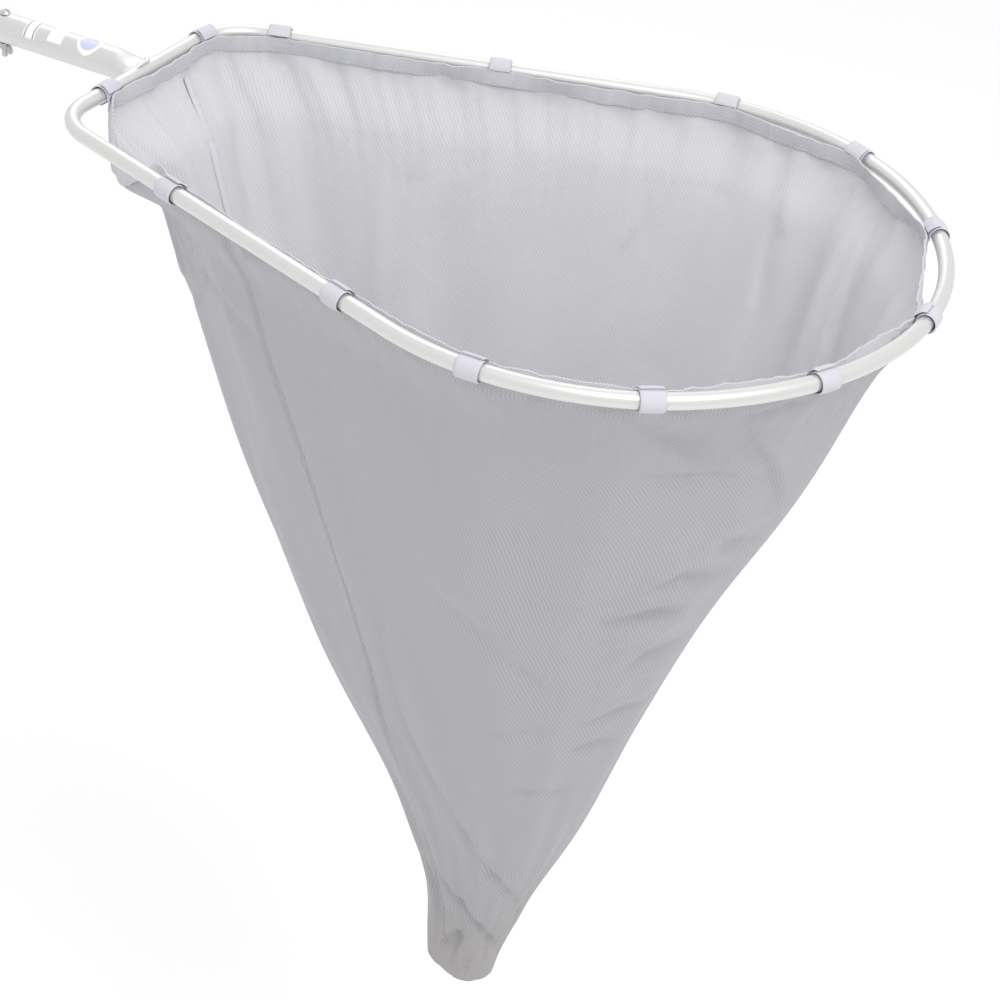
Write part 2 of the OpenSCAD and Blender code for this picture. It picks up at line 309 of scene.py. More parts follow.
def mesh_material(name, dark, light, through):
    """Fine polyester mesh: two sets of threads on the bias, with small holes between them."""
    m = Nodes(name)
    pitch = 2.3
    uv = m.coords((1000 / pitch, 1000 / pitch, 1), (0, 0, math.radians(45)), uv=True)
    wave_a = m.add("TexWave", {"wave_type": "BANDS", "bands_direction": "X", "wave_profile": "SIN"},
                   Vector=uv, Scale=BAND, Distortion=0.0).outputs[1]
    wave_b = m.add("TexWave", {"wave_type": "BANDS", "bands_direction": "Y", "wave_profile": "SIN"},
                   Vector=uv, Scale=BAND, Distortion=0.0).outputs[1]
    threads = m.math("MAXIMUM", wave_a, m.math("MULTIPLY", wave_b, 0.7))
    cloud = m.noise(9, 3, 0.5)
    fine = m.noise(55, 3, 0.6)
    soil = m.noise(60, 4, 0.65)
    low = m.add("SeparateXYZ", None, Vector=m.add("TexCoord").outputs["Object"]).outputs[2]
    toe = m.add("MapRange", None, Value=low, From_Min=-0.58, From_Max=-0.77).outputs[0]
    c = m.mix(threads, dark, light)
    c = m.mix(m.math("MULTIPLY", cloud, 0.12), c, tuple(x * 0.86 for x in light))
    c = m.mix(m.math("MULTIPLY", fine, 0.08), c, tuple(x * 1.05 for x in light))
    c = m.mix(m.math("MULTIPLY", toe, 0.6), c, (0.40, 0.375, 0.36))
    spots = m.ramp(soil, [(0.58, (0, 0, 0)), (0.70, (1, 1, 1))])
    c = m.mix(m.math("MULTIPLY", m.math("MULTIPLY", spots, toe), 0.55), c, (0.27, 0.235, 0.21))
    n = m.bump(threads, 0.35, 0.0005)
    m.set(Base_Color=c, Roughness=0.62, Normal=n)
    m.bsdf.inputs["Sheen Weight"].default_value = 0.15
    m.bsdf.inputs["Sheen Roughness"].default_value = 0.4
    m.bsdf.inputs["Specular IOR Level"].default_value = 0.3
    thin = m.add("BsdfTranslucent", None, Color=(0.80, 0.80, 0.83, 1))
    both = m.add("MixShader", None)
    both.inputs[0].default_value = through
    m.tree.links.new(m.bsdf.outputs[0], both.inputs[1])
    m.tree.links.new(thin.outputs[0], both.inputs[2])
    m.tree.links.new(both.outputs[0], m.out.inputs[0])
    return m.mat


def cloth_material(name, colour, dark, pitch, twill=False, contrast=0.5):
    """Woven webbing or hem tape. pitch in mm."""
    m = Nodes(name)
    uv = m.coords((1000 / pitch, 1000 / pitch, 1), (0, 0, math.radians(38 if twill else 0)), uv=True)
    a = m.add("TexWave", {"bands_direction": "X"}, Vector=uv, Scale=BAND).outputs[1]
    b = m.add("TexWave", {"bands_direction": "Y"}, Vector=uv, Scale=BAND).outputs[1]
    weave = m.math("MULTIPLY", m.math("ADD", a, b), 0.5)
    fuzz = m.noise(900, 3, 0.7)
    cloud = m.noise(60, 3, 0.6)
    c = m.mix(m.math("MULTIPLY", weave, contrast), dark, colour)
    c = m.mix(m.math("MULTIPLY", cloud, 0.25), c, tuple(x * 0.9 for x in colour))
    h = m.math("ADD", weave, m.math("MULTIPLY", fuzz, 0.4))
    m.set(Base_Color=c, Roughness=0.7, Normal=m.bump(h, 0.4, 0.0003))
    m.bsdf.inputs["Sheen Weight"].default_value = 0.25
    m.bsdf.inputs["Sheen Roughness"].default_value = 0.35
    m.bsdf.inputs["Specular IOR Level"].default_value = 0.35
    return m.mat


def label_material(name, colour, spot=None, centre=None, radius=None):
    """Blank printed film, with a plain round spot of another colour where a centre is given."""
    m = Nodes(name)
    c = m.mix(m.math("MULTIPLY", m.noise(300, 3, 0.6), 0.15), colour, tuple(x * 0.86 for x in colour))
    if centre is not None:
        tc = m.add("TexCoord").outputs["Object"]
        d = m.add("VectorMath", {"operation": "DISTANCE"}, i0=tc, i1=centre).outputs["Value"]
        inside = m.math("LESS_THAN", d, radius)
        c = m.mix(inside, c, spot)
    scuff = m.noise(700, 2, 0.5)
    return m.set(Base_Color=c, Roughness=0.32, Normal=m.bump(scuff, 0.06, 0.0002))


TUBE_METAL = metal_material("hoop_aluminium", (0.72, 0.72, 0.71), 0.36, 0)
HANDLE_METAL = metal_material("handle_aluminium", (0.70, 0.70, 0.695), 0.38, 0, streak=0.09)
WELD_METAL = metal_material("weld_bead", (0.80, 0.79, 0.76), 0.42, 1, streak=0.14, dirt=0.12)
BOLT_METAL = metal_material("plated_steel", (0.62, 0.62, 0.60), 0.33, 2, streak=0.10, dirt=0.14)
NUT_METAL = metal_material("cast_zinc", (0.50, 0.50, 0.49), 0.42, 2, streak=0.08, dirt=0.2)
# lit and shaded copies of one cloth: the second, for the bag's inner face, is painted much lighter, painted
# light standing in for light that comes through the mesh and falls on the far wall inside
MESH = mesh_material("bag_mesh", (0.34, 0.34, 0.36), (0.51, 0.51, 0.535), 0.20)
MESH_INSIDE_PAINTED_LIGHT = mesh_material("bag_mesh_inside_painted_light", (0.69, 0.69, 0.71), (0.86, 0.86, 0.88), 0.30)
WEBBING = cloth_material("webbing", (0.74, 0.73, 0.79), (0.52, 0.51, 0.57), 0.9)
HEM_CLOTH = cloth_material("hem_cloth", (0.66, 0.66, 0.70), (0.46, 0.46, 0.50), 2.2, True, 0.85)
TAPE_CLOTH = cloth_material("tape_cloth", (0.72, 0.72, 0.76), (0.58, 0.58, 0.62), 1.6, True, 0.8)
THREAD = cloth_material("thread", (0.84, 0.84, 0.86), (0.66, 0.66, 0.68), 0.5)
LABEL = label_material("label_film", (0.90, 0.90, 0.91))


# ------------------------------------------------------------------ rim of the bag

def rim_points(s, inward):
    """The hem is held beside the tube at each tab and runs straight between tabs."""
    keys, pts = [], []
    for t in sorted(TAB_S):
        for e in (-1, 1):
            p, tang, n = station(t)
            keys.append(t + e * TAB_W * 0.45)
            pts.append(p + tang * e * TAB_W * 0.45 + n * inward)
    keys, pts = np.array(keys), np.array(pts)
    k = np.concatenate([keys - 2 * HALF, keys, keys + 2 * HALF])
    q = np.concatenate([pts] * 3)
    return np.stack([np.interp(s, k, q[:, 0]), np.interp(s, k, q[:, 1])], 1)


def around(f, s, blur):
    """f(s) averaged over a short stretch of rim, so that nothing turns a hard corner."""
    offs = np.linspace(-1.6, 1.6, 9)
    w = np.exp(-offs ** 2)
    return sum(wi * f(s + o * blur) for wi, o in zip(w / w.sum(), offs))


def between(s, a, b):
    """0 at a and b, 1 half way between them."""
    t = np.clip((s - a) / (b - a), 0, 1)
    return np.sin(np.pi * t) ** 2


def near_tab(s, width=0.016):
    return sum(np.exp(-(wrap(s - t) / width) ** 2) for t in TAB_S)


def hem_sag(s):
    """How far the hem's top edge hangs below its place at a tab."""
    tabs = sorted(TAB_S)
    tabs = tabs + [tabs[0] + 2 * HALF]
    s = np.where(s < tabs[0], s + 2 * HALF, s)
    sag = np.zeros_like(s)
    for a, b in zip(tabs, tabs[1:]):
        sag += 0.008 * (b - a) * between(s, a, b)
    t = wrap(s)
    # spare cloth beside the near base corner drops below the tube before the next tab
    slack = smooth_step(t, -0.236, -0.100) ** 1.4 * (1 - smooth_step(t, -0.080, -0.060))
    sag += 0.045 * slack
    sag += 0.0022 * between(t, -0.05, 0.09) * (0.6 + 0.5 * noise1(t, 5, 0.045))
    return sag


def hem_wave(s):
    """Small puckers of the hem across its line, stronger beside the base bar."""
    t = wrap(s)
    base = np.exp(-((t - 0.02) / 0.10) ** 2)
    corner = between(t, -0.246, -0.062)
    calm = 1 - 0.8 * np.clip(near_tab(s, 0.013), 0, 1)
    return calm * (0.00035 * noise1(s, 3, 0.021) + base * 0.0007 * noise1(s, 4, 0.034)
                   + corner * 0.0020 * noise1(s, 6, 0.030))


def rim_line(s, inward):
    p = around(lambda x: rim_points(wrap(x), inward), s, 0.005)
    d = around(lambda x: rim_points(wrap(x), inward), s + 0.002, 0.005) \
        - around(lambda x: rim_points(wrap(x), inward), s - 0.002, 0.005)
    d /= np.linalg.norm(d, axis=1)[:, None]
    n_in = np.stack([d[:, 1], -d[:, 0]], 1)
    return p + n_in * hem_wave(s)[:, None], d, n_in


# ------------------------------------------------------------------ the bag

MOUTH_X = BASE_X + 0.372
# depth below the hoop, size beside the mouth, middle of the section
DEPTHS = np.array([0.0, 0.011, 0.060, 0.150, 0.300, 0.450, 0.600, 0.690, 0.760, 0.810])
SIZES = np.array([1.0, 1.0, 0.912, 0.813, 0.638, 0.451, 0.240, 0.140, 0.100, 0.085])
MIDS = np.array([0.372, 0.372, 0.3774, 0.3785, 0.3713, 0.3774, 0.3923, 0.3908, 0.3842, 0.3830]) + BASE_X


def smooth_curve(x, xs, ys):
    """Monotone cubic through the points (no overshoot)."""
    h = np.diff(xs)
    d = np.diff(ys) / h
    m = np.zeros_like(ys)
    m[1:-1] = np.where(d[:-1] * d[1:] > 0, 2 * d[:-1] * d[1:] / (d[:-1] + d[1:] + 1e-12), 0)
    m[0], m[-1] = d[0], d[-1]
    i = np.clip(np.searchsorted(xs, x) - 1, 0, len(xs) - 2)
    t = (x - xs[i]) / h[i]
    return ((2 * t ** 3 - 3 * t ** 2 + 1) * ys[i] + (t ** 3 - 2 * t ** 2 + t) * h[i] * m[i]
            + (-2 * t ** 3 + 3 * t ** 2) * ys[i + 1] + (t ** 3 - t ** 2) * h[i] * m[i + 1])


BAG_COLS, BAG_ROWS = 660, 300
BAG_TOP, BAG_END = 0.004, 0.768
col_s = -HALF + 2 * HALF * np.arange(BAG_COLS) / BAG_COLS
row_d = np.linspace(BAG_TOP, BAG_END, BAG_ROWS)


def base_bag():
    rim, _, _ = rim_line(col_s, BAG_IN)
    sag = hem_sag(col_s)
    g = np.zeros((BAG_ROWS, BAG_COLS, 3))
    for j, d in enumerate(row_d):
        # where the hem hangs low, the cloth below it is drawn in on to the cone again
        drop = sag * (1 - smooth_step(d, 0.01, 0.20))
        deep = np.clip(d + drop * smooth_step(d, 0.006, 0.030), DEPTHS[0], DEPTHS[-1])
        k = smooth_curve(deep, DEPTHS, SIZES)
        m = smooth_curve(deep, DEPTHS, MIDS)
        near = 1 - smooth_step(d, 0.02, 0.14)
        q = around(lambda x: rim_points(wrap(x), BAG_IN), col_s, 0.005 + 0.05 * smooth_step(d, 0.02, 0.5))
        q = near * rim + (1 - near) * q
        g[j, :, 0] = m + k * (q[:, 0] - MOUTH_X)
        g[j, :, 1] = k * q[:, 1]
        g[j, :, 2] = -d - drop
    return g


def normals_of(g):
    ds = np.roll(g, -1, 1) - np.roll(g, 1, 1)
    dz = np.gradient(g, axis=0)
    n = np.cross(ds, dz)
    n /= np.linalg.norm(n, axis=2)[..., None] + 1e-12
    mid = g.mean(1, keepdims=True)
    flip = np.sign(((g - mid) * n).sum(-1).mean())
    return n * flip


def surface_point(g, s, d):
    """Points of the grid at rim distance s and depth d (arrays)."""
    i = (np.asarray(s, float) + HALF) / (2 * HALF) * BAG_COLS
    j = np.clip((np.asarray(d, float) - BAG_TOP) / (BAG_END - BAG_TOP) * (BAG_ROWS - 1), 0, BAG_ROWS - 1.001)
    i0, j0 = np.floor(i).astype(int), np.floor(j).astype(int)
    fi, fj = (i - i0)[..., None], (j - j0)[..., None]
    a = g[j0, i0 % BAG_COLS] * (1 - fi) + g[j0, (i0 + 1) % BAG_COLS] * fi
    b = g[j0 + 1, i0 % BAG_COLS] * (1 - fi) + g[j0 + 1, (i0 + 1) % BAG_COLS] * fi
    return a * (1 - fj) + b * fj


# folds of the cloth, each a line over the bag: points (rim distance, depth) in mm, then
# the width on its upper or left side, the width on the other, and the depth, all in mm
SEAM_NEAR = [(-312, 0), (-300, 33), (-297, 65), (-297, 109), (-311, 181), (-327, 227), (-352, 297),
             (-360, 330), (-356, 405), (-338, 475), (-314, 555), (-285, 600), (-283, 640), (-290, 700),
             (-300, 768)]
SEAM_FAR = [(55, 0), (52, 8), (47, 28), (41, 50), (36, 75), (35, 111), (38, 200), (45, 320), (40, 450),
            (60, 600), (80, 768)]
FOLDS = [
    ([(-793, 30), (-809, 61), (-847, 95), (-893, 137), (-928, 173)], 5, 16, -4.5),
    ([(-700, 22), (-730, 48), (-763, 65), (-804, 91)], 16, 9, -5.0),
    ([(-700, 88), (-745, 94), (-793, 99), (-861, 117)], 5, 14, -3.6),
    ([(-790, 36), (-825, 24), (-850, 20)], 5, 8, -2.5),
    ([(-835, 170), (-863, 190), (-928, 209)], 6, 12, -4.0),
    ([(-840, 152), (-880, 166), (-930, 180)], 8, 8, 2.8),
    ([(-765, 232), (-800, 224), (-823, 219), (-920, 249)], 13, 5, -4.6),
    ([(-770, 240), (-830, 236), (-920, 268)], 7, 9, 2.6),
    ([(-735, 272), (-770, 264), (-804, 257), (-866, 269)], 13, 4.5, -4.6),
    ([(-750, 286), (-810, 276), (-880, 290)], 8, 9, 2.8),
    ([(-620, 241), (-700, 240), (-766, 233)], 9, 12, -2.0),
    ([(-796, 333), (-850, 321), (-942, 329)], 12, 5, -4.2),
    ([(-800, 347), (-860, 338), (-940, 347)], 7, 8, 2.2),
    ([(-766, 401), (-850, 393), (-955, 397)], 10, 5, -3.6),
    ([(-771, 437), (-830, 432), (-904, 439)], 9, 5, -3.2),
    ([(-644, 491), (-680, 487), (-725, 485), (-834, 501)], 8, 5, -2.4),
    ([(-601, 409), (-660, 402), (-736, 401)], 8, 6, -1.8),
    ([(-506, 245), (-598, 285), (-677, 335), (-744, 373)], 7, 13, -2.2),
    ([(-425, 271), (-440, 300), (-425, 335), (-411, 363), (-409, 400), (-411, 449), (-441, 501), (-517, 555),
      (-631, 607), (-800, 650), (-953, 695)], 3.2, 10, -3.2),
    ([(-250, 37), (-215, 66), (-184, 85), (-130, 112), (-65, 153)], 6, 9, -2.4),
    ([(-103, 75), (-135, 82), (-168, 89), (-252, 97), (-295, 113)], 4, 9, -2.0),
    ([(-230, 25), (-200, 40), (-170, 60), (-103, 75)], 4, 6, -1.8),
    ([(-268, 589), (-287, 637), (-352, 657), (-493, 671), (-652, 693), (-926, 737)], 3, 7, -4.0),
    ([(-190, 640), (-240, 680), (-262, 720), (-270, 760)], 3, 6, -3.2),
    ([(-319, 743), (-420, 728), (-539, 711)], 6, 9, -5.0),
    ([(-440, 700), (-470, 740), (-480, 766)], 3, 5, -3.0),
    ([(-268, 640), (-292, 690), (-330, 745)], 4, 4, -2.6),
    ([(-330, 690), (-470, 700), (-560, 720)], 14, 10, -2.4),
    ([(-540, 560), (-600, 610), (-700, 660)], 12, 16, 2.4),
    # broad folds hanging down the far side
    ([(262, 50), (290, 93), (268, 137), (252, 187), (245, 260)], 22, 20, -3.4),
    ([(305, 60), (300, 103), (284, 159), (270, 230)], 18, 20, 3.4),
    ([(365, 50), (352, 73), (319, 167), (287, 219), (280, 300)], 24, 22, -3.2),
    ([(244, 40), (236, 90), (222, 183), (215, 260)], 10, 10, -1.8),
    ([(482, 30), (488, 67), (493, 107), (484, 129), (478, 190)], 5, 14, 2.4),
    ([(560, 60), (566, 130), (550, 220)], 22, 20, -3.2),
    ([(622, 60), (630, 100), (644, 143), (640, 220)], 5, 13, 2.6),
    ([(631, 40), (641, 79)], 6, 10, -1.6),
    ([(735, 18), (739, 33), (747, 67), (758, 113), (777, 160), (790, 230), (800, 320)], 4, 20, 6.5),
    ([(712, 20), (718, 70), (730, 130), (745, 220)], 18, 10, -4.0),
    ([(855, 25), (868, 90), (885, 170), (890, 260)], 16, 20, -3.5),
    ([(100, 20), (90, 50), (80, 90), (78, 160)], 14, 10, 3.0),
    ([(140, 20), (134, 60), (128, 120), (120, 190)], 16, 14, -3.5),
    # the gathered cloth beside the near base corner
    ([(-60, 8), (-56, 30), (-40, 60), (-12, 90)], 4, 7, 4.0),
    ([(-75, 6), (-78, 30), (-72, 60)], 4, 5, -3.5),
    ([(-92, 6), (-96, 34), (-90, 80), (-70, 130)], 5, 8, 3.0),
    ([(-20, 6), (-16, 40), (-8, 90), (0, 150)], 8, 10, -2.4),
]


FOLD_STRENGTH = 1.45


def fold_shift(g, n, path, wide_a, wide_b, amount):
    """Displacement made by one fold, fading out at both of its ends."""
    pts = np.array(path, float) * MM
    t = np.concatenate([[0], np.cumsum(np.linalg.norm(np.diff(pts, axis=0), axis=1))])
    k = np.linspace(0, t[-1], max(12, int(t[-1] / 0.006)))
    line = surface_point(g, np.interp(k, t, pts[:, 0]), np.interp(k, t, pts[:, 1]))
    reach = 3.2 * max(wide_a, wide_b) * MM
    lo, hi = line.min(0) - reach, line.max(0) + reach
    flat = g.reshape(-1, 3)
    pick = np.where(((flat > lo) & (flat < hi)).all(1))[0]
    p, nn = flat[pick], n.reshape(-1, 3)[pick]
    best = np.full(len(pick), 1e9)
    side = np.ones(len(pick))
    place = np.zeros(len(pick))
    for i in range(len(line) - 1):
        a, ab = line[i], line[i + 1] - line[i]
        u = np.clip((p - a) @ ab / (ab @ ab), 0, 1)
        off = p - a - u[:, None] * ab
        dist = np.linalg.norm(off, axis=1)
        sel = dist < best
        best[sel] = dist[sel]
        side[sel] = np.sign((np.cross(ab, off) * nn).sum(1))[sel]
        place[sel] = ((i + u) / (len(line) - 1))[sel]
    width = np.where(side > 0, wide_a, wide_b) * MM
    fade = np.sin(np.pi * np.clip(place, 0.02, 0.98)) ** 0.7
    out = np.zeros(len(flat))
    out[pick] = amount * FOLD_STRENGTH * MM * fade * np.exp(-(best / width) ** 2)
    return out.reshape(g.shape[:2])


def crumple():
    """Soft unevenness of hanging cloth: long upright waves and a little all-over play."""
    s, d = col_s[None, :], row_d[:, None]
    mid = smooth_step(d, 0.03, 0.2) * (1 - 0.5 * smooth_step(d, 0.55, 0.75))
    a = 0.0013 * np.sin(2 * np.pi * s * 9 / (2 * HALF) + 3.0 * d * 6 + 1.0)
    b = 0.0010 * np.sin(2 * np.pi * s * 14 / (2 * HALF) - 9 * d + 2.2)
    c = 0.0007 * np.sin(2 * np.pi * s * 23 / (2 * HALF) + 14 * d)
    near_rim = (1 - smooth_step(d, 0.01, 0.09)) * smooth_step(d, 0.004, 0.02)
    near_rim = near_rim * 0.0011 * noise1(col_s, 8, 0.05)[None, :]
    return (a + b + c) * mid + near_rim


def make_bag():
    g = base_bag()
    n = normals_of(g)
    shift = crumple()
    for path, wa, wb, amount in FOLDS:
        shift = shift + fold_shift(g, n, path, wa, wb, amount)
    for path in (SEAM_NEAR, SEAM_FAR):
        shift = shift + fold_shift(g, n, path, 2.4, 2.4, -1.3)
    shift *= (smooth_step(row_d, 0.004, 0.022) * (1 - 0.75 * smooth_step(row_d, 0.735, 0.768)))[:, None]
    g = g + n * shift[..., None]
    return g


bag = make_bag()
bag_n = normals_of(bag)


def cloth_uv(g):
    """Flat cloth coordinates in metres: across from the middle of the main panel, and down."""
    across = np.linalg.norm(np.roll(g, -1, 1) - g, axis=2)
    u = np.cumsum(across, 1) - across
    mid = int((0.70 + HALF) / (2 * HALF) * BAG_COLS)
    u = u - u[:, mid:mid + 1]
    down = np.linalg.norm(np.diff(g, axis=0), axis=2)
    v = np.concatenate([np.zeros((1, g.shape[1])), np.cumsum(down, 0)], 0)
    v = np.repeat(v.mean(1, keepdims=True), g.shape[1], 1)
    return np.stack([u, v], -1).reshape(-1, 2)


# the toe is sewn flat: the last rows close on to a short shallow V below the bag
view_side = np.array([0.885, 0.453])
view_side /= np.linalg.norm(view_side)


def close_toe(g):
    last = g[-1]
    mid = last.mean(0)
    q = (last[:, :2] - mid[:2]) @ view_side
    half = np.abs(q).max()
    t = np.clip(q / half, -1, 1)
    end = np.zeros_like(last)
    end[:, :2] = mid[:2] + (t * half * 0.80)[:, None] * view_side
    end[:, 2] = -0.7835 + 0.019 * np.abs(t + 0.08) ** 1.2
    rows = []
    n = 16
    for k in range(1, n + 1):
        f = k / n
        squash = smooth_step(f, 0.0, 1.0)
        p = last * (1 - squash) + end * squash
        p[:, 2] = last[:, 2] * (1 - f) + end[:, 2] * f
        rows.append(p)
    # the two layers stay a little apart so that the seam keeps its thickness
    across = np.array([-view_side[1], view_side[0]])
    sgn = np.sign((last[:, :2] - mid[:2]) @ across)
    rows[-1][:, :2] += sgn[:, None] * across * 0.0009
    return np.concatenate([g, np.array(rows)], 0)


full = close_toe(bag)
rows = full.shape[0]
uv = cloth_uv(full)
bag_faces = grid_faces(rows, BAG_COLS, close_cols=True)
bag_shell = make_mesh("bag_shell", full.reshape(-1, 3), bag_faces, MESH, uv=uv)
# the inner face of the wall takes the lighter copy of the mesh: painted light that brightens the inside of
# the bag
bag_shell.data.materials.append(MESH_INSIDE_PAINTED_LIGHT)
shell_wall = solidify(bag_shell, 0.0007, 0.0)
shell_wall.material_offset, shell_wall.use_even_offset = 1, False
apply_modifiers(bag_shell)
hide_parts("bag_body", "bag_base_panel", "bag_toe")


# ------------------------------------------------------------------ hem, seam tapes, stitching

def rounded_rect(w, h, r, n=4):
    pts = []
    for cx, cy, a in ((w / 2 - r, h / 2 - r, 0), (-w / 2 + r, h / 2 - r, 90),
                      (-w / 2 + r, -h / 2 + r, 180), (w / 2 - r, -h / 2 + r, 270)):
        for k in range(n + 1):
            t = math.radians(a + 90 * k / n)
            pts.append((cx + r * math.cos(t), cy + r * math.sin(t)))
    return pts


HEM_H, HEM_T = 0.0135, 0.0016
hem_s = -HALF + 2 * HALF * np.arange(1300) / 1300
rim, _, rim_in = rim_line(hem_s, HEM_IN)
top_z = 0.0028 - hem_sag(hem_s) + 0.00025 * noise1(hem_s, 17, 0.02)
hem_path = np.concatenate([rim, (top_z - HEM_H / 2)[:, None]], 1)
lean = 0.10 * noise1(hem_s, 21, 0.07) + 0.55 * between(wrap(hem_s), -0.236, -0.062)
lean += 0.22 * np.exp(-((wrap(hem_s) - 0.9) / 0.12) ** 2)
flat_in = np.concatenate([rim_in, np.zeros((len(rim), 1))], 1)
up = np.array([0, 0, 1.0])
hem_up = np.cos(lean)[:, None] * up + np.sin(lean)[:, None] * flat_in
hem_side = np.cos(lean)[:, None] * flat_in - np.sin(lean)[:, None] * up
profile = np.array(rounded_rect(HEM_T, HEM_H, 0.0006))
v, f = sweep(hem_path, hem_side, hem_up, profile, close_path=True)
arc = np.concatenate([[0], np.cumsum(np.linalg.norm(np.diff(hem_path, axis=0), axis=1))])
huv = np.stack([np.repeat(arc, len(profile)), np.tile(profile[:, 1], len(arc))], 1)
hem = make_mesh("hem_band", v, f, HEM_CLOTH, uv=huv)
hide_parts("hem")


def stitch_row(name, points, normals, length=0.0024, gap=0.0011, width=0.00045, high=0.00022, body="frame"):
    """Single stitches laid along a line on cloth: small rounded bars, standing a little proud."""
    points, normals = np.asarray(points), np.asarray(normals)
    t = np.concatenate([[0], np.cumsum(np.linalg.norm(np.diff(points, axis=0), axis=1))])
    verts, faces = [], []
    at = 0.0
    ring = [(0, 1), (0.7, 0.55), (0.7, -0.5), (-0.7, -0.5), (-0.7, 0.55)]
    while at + length < t[-1]:
        ks = [at, at + 0.25 * length, at + 0.75 * length, at + length]
        c = np.stack([np.interp(ks, t, points[:, a]) for a in range(3)], 1)
        n = np.stack([np.interp(ks, t, normals[:, a]) for a in range(3)], 1)
        n /= np.linalg.norm(n, axis=1)[:, None]
        d = c[-1] - c[0]
        d /= np.linalg.norm(d) + 1e-12
        b = np.cross(n, d)
        lift = [-0.2, 1.0, 1.0, -0.2]
        base = len(verts)
        for i in range(4):
            r = width * (0.55 if i in (0, 3) else 1.0) * 0.7
            for x, y in ring:
                verts.append(c[i] + b[i] * x * r + n[i] * (y * high + lift[i] * high))
        faces += grid_faces(4, 5, close_cols=True, start=base)
        faces += [[base + k for k in range(5)][::-1], [base + 15 + k for k in range(5)]]
        at += length + gap
    return make_mesh(name, verts, faces, THREAD, body=body)


low = hem_path - hem_up * (HEM_H / 2 - 0.0022)
stitch_a = stitch_row("hem_stitches_in", low + hem_side * (HEM_T / 2), hem_side)
stitch_b = stitch_row("hem_stitches_out", low - hem_side * (HEM_T / 2), -hem_side)


def smooth_line(p, reach):
    """Each point averaged with so many on either side of it."""
    w = np.ones(2 * reach + 1) / (2 * reach + 1)
    return np.stack([np.convolve(np.pad(p[:, a], reach, mode="edge"), w, "valid") for a in range(3)], 1)


def seam_tape(name, path, width, side, lift):
    """A tape along a seam. side is +1 on the outside of the bag and -1 on the inside."""
    pts = np.array(path, float) * MM
    d = np.linspace(0.012, 0.748, 260)
    s = np.interp(d, pts[:, 1], pts[:, 0])
    centre = surface_point(bag, s, d)
    n = surface_point(bag_n, s, d) * side
    n /= np.linalg.norm(n, axis=1)[:, None]
    k = np.clip(np.interp(d, [0, 0.5, 0.768], [1, 0.85, 0.5]), 0, 1)
    offs = np.linspace(-0.5, 0.5, 9) * width
    rows = []
    for o in offs:
        # each line of the tape lies on the bag beside the seam
        size = smooth_curve(d, DEPTHS, SIZES)
        q = surface_point(bag, s + o * k / np.maximum(size, 0.09), d)
        nq = surface_point(bag_n, s + o * k / np.maximum(size, 0.09), d) * side
        rows.append(q + nq * lift)
    # the tape spans small hollows instead of following them
    rows = [smooth_line(r, 6) for r in rows]
    v = np.stack(rows, 1)
    arc = np.concatenate([[0], np.cumsum(np.linalg.norm(np.diff(centre, axis=0), axis=1))])
    uv = np.stack([np.repeat(arc, 9), np.tile(offs, len(arc))], 1)
    o = make_mesh(name, v.reshape(-1, 3), grid_faces(len(d), 9), TAPE_CLOTH, uv=uv)
    solidify(o, 0.0005, 0)
    apply_modifiers(o)
    crease(o)
    edge = [stitch_row(f"{name}_stitch_{i}", rows[j] + n * 0.0003, n, 0.0026, 0.0014, 0.0004, 0.00018)
            for i, j in enumerate((1, 7))]
    return o, edge


tape_far, tape_far_stitch = seam_tape("seam_tape_far", SEAM_FAR, 0.0095, -1, 0.0010)
tape_near, tape_near_stitch = seam_tape("seam_tape_near", SEAM_NEAR, 0.0095, -1, 0.0010)
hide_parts("seam_tapes")


def seam_line(name, path, side):
    pts = np.array(path, float) * MM
    d = np.linspace(0.014, 0.746, 400)
    s = np.interp(d, pts[:, 1], pts[:, 0])
    n = surface_point(bag_n, s, d) * side
    return stitch_row(name, surface_point(bag, s, d) + n * 0.0004, n, 0.0024, 0.0012, 0.0004, 0.0002)


seam_out = [seam_line("seam_stitch_near", SEAM_NEAR, 1), seam_line("seam_stitch_far", SEAM_FAR, 1)]


# ------------------------------------------------------------------ tabs

def frame_at(s, yaw=0.0):
    p, _, n = station(s)
    n3 = np.array([*n, 0])
    # X along the tube, chosen so that X, inward and up are right-handed
    x = np.cross(n3, up)
    x, n3 = (math.cos(yaw) * x + math.sin(yaw) * n3), (math.cos(yaw) * n3 - math.sin(yaw) * x)
    return np.array([*p, 0]), x, n3


def path_normals(path):
    t = np.gradient(path, axis=0)
    n = np.stack([t[:, 1], -t[:, 0]], 1)
    n /= np.linalg.norm(n, axis=1)[:, None]
    return n * np.sign((path * n).sum())


